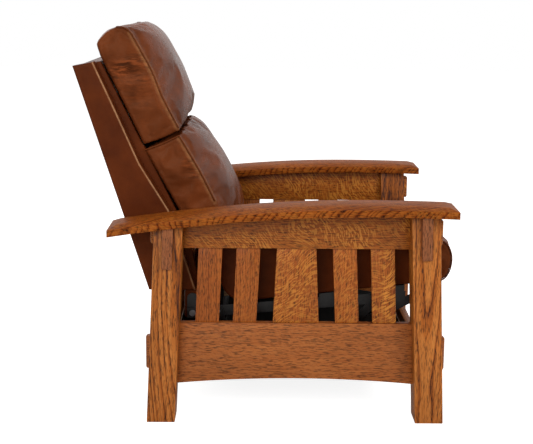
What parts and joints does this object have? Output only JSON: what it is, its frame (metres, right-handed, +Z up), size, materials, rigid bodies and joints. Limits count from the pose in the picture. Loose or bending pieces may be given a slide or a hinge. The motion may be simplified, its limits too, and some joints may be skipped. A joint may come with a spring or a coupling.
{
  "type": "reclining armchair",
  "caption": "Mission style oak reclining armchair with bowed flat arms, slatted sides, through tenons and leather cushions; back and footrest recline on steel links.",
  "frame": {"origin": "on the floor, under the middle of the whole chair's box", "axes": "+Z up, the sitter faces -Y, +X is the sitter's left"},
  "size_m": [0.854, 1.0486, 1.0803],
  "materials": {
    "quartersawn_oak": "satin",
    "inner_hardwood": "matte",
    "leather_cushion": "gloss",
    "leather_panel": "gloss",
    "webbing": "matte",
    "black_steel": "satin",
    "zinc_steel": "satin"
  },
  "bodies": {
    "frame": {"left_front_post": "quartersawn_oak", "left_rear_post": "quartersawn_oak", "left_arm": "quartersawn_oak", "left_upper_rail": "quartersawn_oak", "left_lower_rail": "quartersawn_oak", "left_slat_1": "quartersawn_oak", "left_slat_2": "quartersawn_oak", "left_slat_3": "quartersawn_oak", "left_slat_4": "quartersawn_oak", "left_slat_5": "quartersawn_oak", "left_front_corbel": "quartersawn_oak", "left_rear_corbel": "quartersawn_oak", "right_front_post": "quartersawn_oak", "right_rear_post": "quartersawn_oak", "right_arm": "quartersawn_oak", "right_upper_rail": "quartersawn_oak", "right_lower_rail": "quartersawn_oak", "right_slat_1": "quartersawn_oak", "right_slat_2": "quartersawn_oak", "right_slat_3": "quartersawn_oak", "right_slat_4": "quartersawn_oak", "right_slat_5": "quartersawn_oak", "right_front_corbel": "quartersawn_oak", "right_rear_corbel": "quartersawn_oak", "front_stretcher": "quartersawn_oak", "rear_stretcher": "quartersawn_oak", "left_base_plate": "black_steel", "right_base_plate": "black_steel", "base_cross_tubes": "black_steel", "base_bolts": "zinc_steel", "base_pivots": "zinc_steel"},
    "rear_links": {"rear_swing_links": "black_steel", "rear_link_tube": "black_steel"},
    "front_links": {"front_swing_links": "black_steel"},
    "seat": {"left_seat_side": "leather_panel", "right_seat_side": "leather_panel", "seat_front_rail": "inner_hardwood", "seat_rear_rail": "inner_hardwood", "seat_straps": "webbing", "seat_cushion": "leather_cushion", "left_seat_plate": "black_steel", "right_seat_plate": "black_steel", "seat_pivots": "zinc_steel"},
    "back": {"left_wing": "leather_panel", "right_wing": "leather_panel", "back_panel": "leather_panel", "left_back_stile": "leather_panel", "right_back_stile": "leather_panel", "back_top_rail": "leather_panel", "back_middle_rail": "inner_hardwood", "back_bottom_rail": "leather_panel", "back_brackets": "black_steel", "upper_pillow": "leather_cushion", "lower_pillow": "leather_cushion"},
    "first_links": {"footrest_first_links": "black_steel"},
    "second_links": {"footrest_second_links": "black_steel"},
    "footrest": {"footrest_board": "inner_hardwood", "footrest_pad": "leather_cushion", "footrest_brackets": "black_steel"}
  },
  "joints": [
    {"name": "recline", "type": "hinge", "parent": "frame", "child": "rear_links", "pos_m": [0, 0.10248, 0.16618], "axis": [1, 0, 0], "range_deg": [0, 24]},
    {"name": "front_swing", "type": "hinge", "parent": "frame", "child": "front_links", "pos_m": [0, -0.14752, 0.1884], "axis": [1, 0, 0], "range_deg": [0, 24]},
    {"name": "seat_swing", "type": "hinge", "parent": "rear_links", "child": "seat", "pos_m": [0, 0.12743, 0.28355], "axis": [1, 0, 0], "range_deg": [-24, 0]},
    {"name": "back_recline", "type": "hinge", "parent": "seat", "child": "back", "pos_m": [0, 0.20043, 0.277], "axis": [-1, 0, 0], "range_deg": [0, 28]},
    {"name": "footrest_extend", "type": "hinge", "parent": "seat", "child": "first_links", "pos_m": [0, -0.32407, 0.325], "axis": [-1, 0, 0], "range_deg": [0, 143]},
    {"name": "footrest_knee", "type": "hinge", "parent": "first_links", "child": "second_links", "pos_m": [0, -0.21987, 0.2171], "axis": [-1, 0, 0], "range_deg": [-152, 0]},
    {"name": "footrest_tilt", "type": "hinge", "parent": "second_links", "child": "footrest", "pos_m": [0, -0.42807, 0.329], "axis": [-1, 0, 0], "range_deg": [0, 119]}
  ],
  "couplings": [
    {"joint": "front_swing", "follows": "recline", "ratio": 1},
    {"joint": "seat_swing", "follows": "recline", "ratio": -1},
    {"joint": "back_recline", "follows": "recline", "ratio": 1.1667},
    {"joint": "footrest_knee", "follows": "footrest_extend", "ratio": -1.0629},
    {"joint": "footrest_tilt", "follows": "footrest_extend", "ratio": 0.83217}
  ]
}
